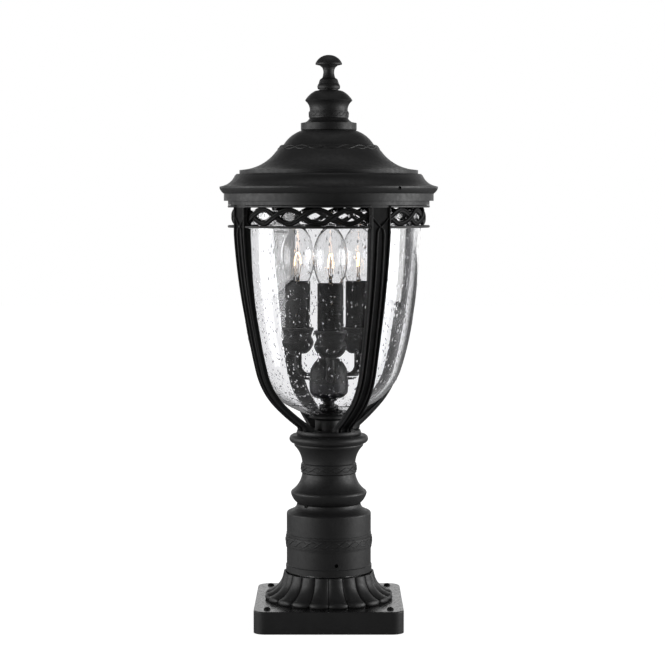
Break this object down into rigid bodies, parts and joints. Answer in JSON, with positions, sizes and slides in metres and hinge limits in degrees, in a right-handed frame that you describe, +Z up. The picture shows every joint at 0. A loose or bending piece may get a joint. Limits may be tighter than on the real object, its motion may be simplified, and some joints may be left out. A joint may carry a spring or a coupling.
{
  "type": "outdoor pedestal light",
  "caption": "Outdoor pedestal lantern: seeded glass urn in a strapped cage with braided band, bell roof and finial, candle lamps inside, on a turned column and fluted square plinth.",
  "frame": {"origin": "centre of the plinth's underside, where it stands on the pier", "axes": "+Z up along the lantern's axis to the finial; the front, with the plinth's flat side, faces -Y; +X to the right"},
  "size_m": [0.2216, 0.2216, 0.5769],
  "materials": {
    "black_coat": "fine-textured matte black powder coat on cast aluminium",
    "black_screws": "black coated steel",
    "plated_steel": "zinc plated",
    "post_aluminium": "drawn tube, satin",
    "earth_brass": "plain brass",
    "soft_rubber": "matte",
    "seeded_glass": "clear blown glass full of small seeds",
    "bulb_clear": "clear",
    "filament_glow": "filament strands on a glass post",
    "lead_sheath": "soft sheath",
    "terminal_plastic": "moulded",
    "candle_dark": "dark candle sleeve",
    "holder_plastic": "moulded",
    "cap_metal": "nickel plated brass"
  },
  "bodies": {
    "base": {"mounting_plate": "plated_steel", "cable_grommet": "soft_rubber", "earth_screw": "earth_brass", "base_plinth": "black_coat", "corner_screws": "black_screws", "fluted_skirt": "black_coat", "spigot_tube": "post_aluminium", "skirt_screws": "plated_steel", "spigot_screws": "plated_steel"},
    "head": {"post_fitter": "black_coat", "fitter_set_screws": "black_screws", "column": "black_coat", "seat_collar": "black_coat", "glass_cup": "black_coat", "glass_seat_gasket": "soft_rubber", "glass_shade": "seeded_glass", "glass_lock_nut": "plated_steel", "stem_tube": "plated_steel", "stem_bottom_nut": "plated_steel", "lamp_lead": "lead_sheath", "cluster_cup": "black_coat", "cluster_dome": "black_coat", "dome_nut": "black_coat", "terminal_block": "terminal_plastic", "cage_band": "black_coat", "strap_screws": "black_screws", "foot_screws": "black_screws", "cage_strap_1": "black_coat", "cage_strap_2": "black_coat", "cage_strap_3": "black_coat", "cage_strap_4": "black_coat", "lamp_arm_1": "black_coat", "lamp_arm_2": "black_coat", "lamp_arm_3": "black_coat", "candle_cup_1": "black_coat", "candle_cup_2": "black_coat", "candle_cup_3": "black_coat", "candle_sleeve_1": "candle_dark", "candle_sleeve_2": "candle_dark", "candle_sleeve_3": "candle_dark", "lampholder_1": "holder_plastic", "lampholder_2": "holder_plastic", "lampholder_3": "holder_plastic"},
    "roof": {"roof_shell": "black_coat", "roof_set_screws": "black_screws", "cupola": "black_coat", "tie_rod": "plated_steel", "rod_nut": "plated_steel"},
    "knob": {"finial": "black_coat"},
    "bulb_1": {"bulb_cap_1": "cap_metal", "bulb_glass_1": "bulb_clear", "bulb_filament_1": "filament_glow"},
    "bulb_2": {"bulb_cap_2": "cap_metal", "bulb_glass_2": "bulb_clear", "bulb_filament_2": "filament_glow"},
    "bulb_3": {"bulb_cap_3": "cap_metal", "bulb_glass_3": "bulb_clear", "bulb_filament_3": "filament_glow"}
  },
  "joints": [
    {"name": "head_turn", "type": "hinge", "parent": "base", "child": "head", "pos_m": [0, 0, 0.0515], "axis": [0, 0, 1], "continuous": true},
    {"name": "roof_lift", "type": "slide", "parent": "head", "child": "roof", "axis": [0, 0, 1], "range_m": [0, 0.12]},
    {"name": "knob_unscrew", "type": "hinge", "parent": "roof", "child": "knob", "pos_m": [0, 0, 0.5425], "axis": [0, 0, 1], "continuous": true},
    {"name": "bulb_1_draw_out", "type": "slide", "parent": "head", "child": "bulb_1", "axis": [0, 0, 1], "range_m": [0, 0.03]},
    {"name": "bulb_2_draw_out", "type": "slide", "parent": "head", "child": "bulb_2", "axis": [0, 0, 1], "range_m": [0, 0.03]},
    {"name": "bulb_3_draw_out", "type": "slide", "parent": "head", "child": "bulb_3", "axis": [0, 0, 1], "range_m": [0, 0.03]}
  ]
}
